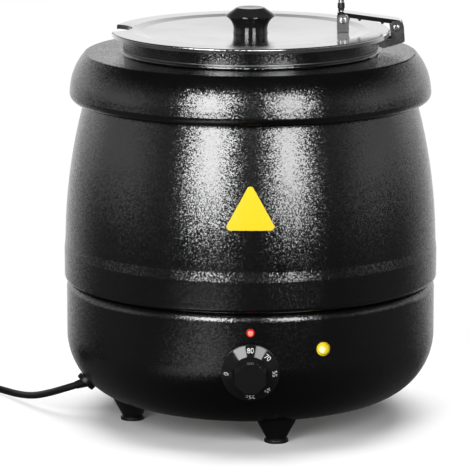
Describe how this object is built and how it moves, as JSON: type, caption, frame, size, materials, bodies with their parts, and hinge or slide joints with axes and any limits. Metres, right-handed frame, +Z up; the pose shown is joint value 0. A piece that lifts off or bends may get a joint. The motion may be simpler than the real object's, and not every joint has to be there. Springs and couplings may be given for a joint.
{
  "type": "electric soup kettle",
  "caption": "Round electric soup kettle with a black casing, lift-out inner pot, hinged polished lid with a ladle notch, thermostat dial, indicator lamps and mains cord.",
  "frame": {"origin": "on the kettle's vertical axis at the plane its feet stand on", "axes": "+Z up, -Y out of the front where the dial is, +X towards the lid's hinge"},
  "size_m": [0.5178, 0.3609, 0.386],
  "materials": {
    "black_coat": "orange-peel powder coat",
    "polished_steel": "polished",
    "stainless": "satin",
    "zinc_steel": "zinc plated",
    "element_sheath": "heat-darkened",
    "black_phenolic": "glossy",
    "black_plastic": "satin",
    "cord_jacket": "matte",
    "plated_pins": "nickel plated",
    "red_lens": "translucent",
    "amber_lens": "translucent",
    "moulding": "moulded",
    "copper": "drawn",
    "insulation": "silicone"
  },
  "bodies": {
    "casing": {"base_pan": "black_coat", "barrel_shell": "black_coat", "collar": "black_coat", "water_well": "stainless", "bottom_plate": "zinc_steel", "heat_shield": "zinc_steel", "clamp_bar": "zinc_steel", "clamp_stud": "zinc_steel", "clamp_nuts": "zinc_steel", "casing_screws": "zinc_steel", "bottom_screws": "zinc_steel", "foot_screws": "zinc_steel", "foot_nuts": "zinc_steel", "thermostat_screws": "zinc_steel", "bulb_clip": "zinc_steel", "lamp_clips": "zinc_steel", "earth_stud": "zinc_steel", "heating_element": "element_sheath", "foot_front": "black_plastic", "foot_right": "black_plastic", "foot_back": "black_plastic", "foot_left": "black_plastic", "cord_gland": "black_plastic", "gland_nut": "black_plastic", "cord_tie": "black_plastic", "cord_lead": "cord_jacket", "cord_coil": "cord_jacket", "cord_tail": "cord_jacket", "mains_plug": "cord_jacket", "plug_pins": "plated_pins", "red_lamp_lens": "red_lens", "amber_lamp_lens": "amber_lens", "red_lamp_holder": "moulding", "amber_lamp_holder": "moulding", "thermostat_body": "moulding", "terminal_block": "moulding", "thermal_cutout": "moulding", "capillary": "copper", "sensor_bulb": "copper", "wiring": "insulation"},
    "dial": {"dial_knob": "black_phenolic", "thermostat_shaft": "zinc_steel"},
    "pot": {"inner_pot": "stainless"},
    "ring": {"lid_ring": "black_coat", "ring_bracket": "polished_steel", "ring_pin": "polished_steel", "ring_rivets": "polished_steel"},
    "arm": {"hinge_arm": "polished_steel", "bumper_stud": "polished_steel", "bumper_sleeve": "black_plastic"},
    "lid_set": {"lid": "polished_steel", "lid_knob": "black_phenolic", "knob_screw": "zinc_steel", "knob_washer": "zinc_steel", "lid_bracket": "polished_steel", "lid_pin": "polished_steel", "lid_rivets": "polished_steel"}
  },
  "joints": [
    {"name": "dial_turn", "type": "hinge", "parent": "casing", "child": "dial", "pos_m": [0, -0.1695, 0.0775], "axis": [0, -0.9962, -0.0872], "range_deg": [0, 270]},
    {"name": "pot_lift", "type": "slide", "parent": "casing", "child": "pot", "axis": [0, 0, 1], "range_m": [0, 0.28]},
    {"name": "ring_lift", "type": "slide", "parent": "pot", "child": "ring", "axis": [0, 0, 1], "range_m": [0, 0.05]},
    {"name": "arm_swing", "type": "hinge", "parent": "ring", "child": "arm", "pos_m": [0.1317, 0, 0.3597], "axis": [0, 1, 0], "range_deg": [0, 100]},
    {"name": "lid_tilt", "type": "hinge", "parent": "arm", "child": "lid_set", "pos_m": [0.0836, 0, 0.3665], "axis": [0, 1, 0], "range_deg": [0, 6]}
  ],
  "couplings": [
    {"joint": "lid_tilt", "follows": "arm_swing", "ratio": 0.06}
  ]
}
